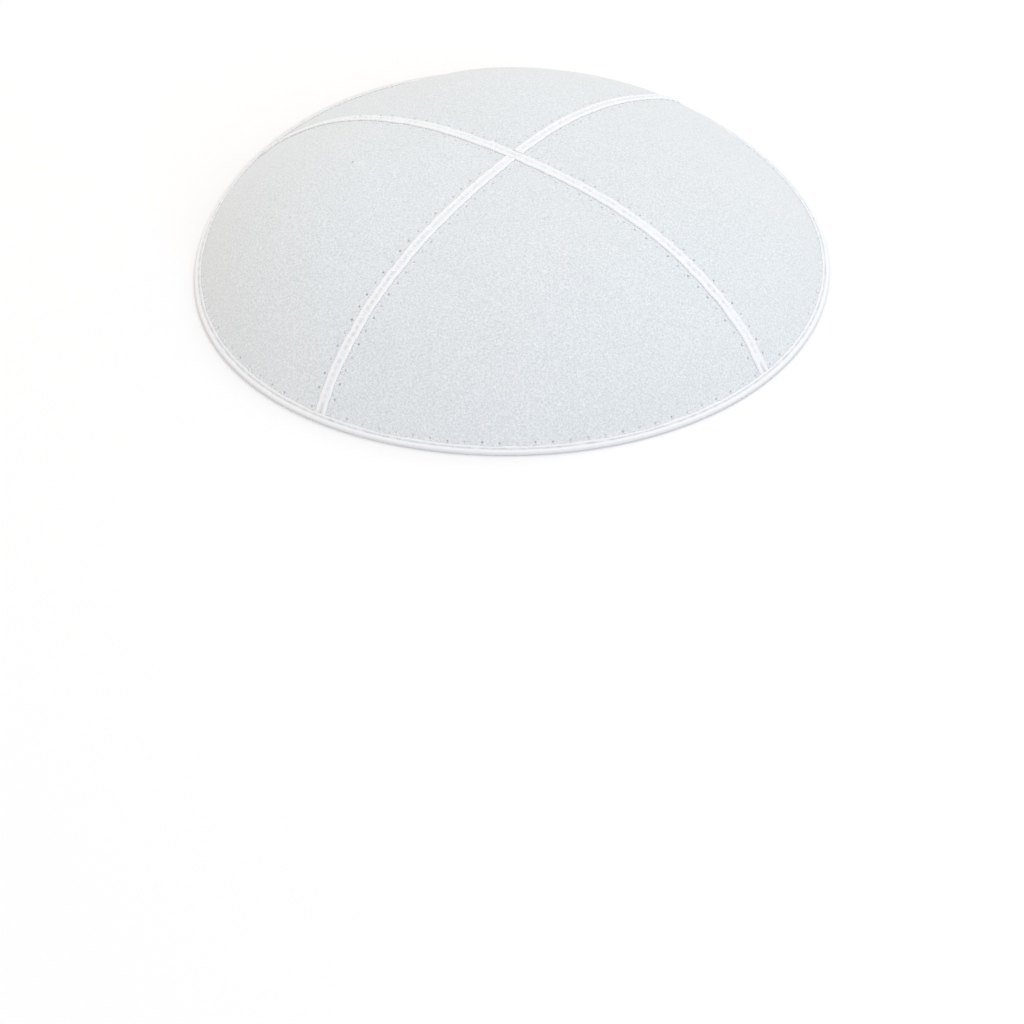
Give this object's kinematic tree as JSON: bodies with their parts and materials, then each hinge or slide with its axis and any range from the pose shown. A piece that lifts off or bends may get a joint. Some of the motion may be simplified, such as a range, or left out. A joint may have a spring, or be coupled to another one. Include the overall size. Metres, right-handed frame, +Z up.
{
  "type": "kippah skullcap",
  "caption": "Shallow round suede skullcap: quarter panels meet at the crown under narrow stitched tapes, and a folded binding finishes the rim.",
  "frame": {"origin": "middle of the rim, on the surface that the cap rests on", "axes": "+Z up through the crown, -Y towards the front panel, +X towards the right panel"},
  "size_m": [0.18, 0.18, 0.0386],
  "materials": {
    "suede": "white suede with a short, finely mottled nap",
    "seam_tape": "smooth white tape with a zigzag of white thread",
    "binding": "smooth white binding folded over the edge"
  },
  "bodies": {
    "root": {"panel_front": "suede", "panel_right": "suede", "panel_back": "suede", "panel_left": "suede", "seam_strip_long": "seam_tape", "seam_strip_front_left": "seam_tape", "seam_strip_back_right": "seam_tape", "rim_binding": "binding"}
  },
  "joints": []
}
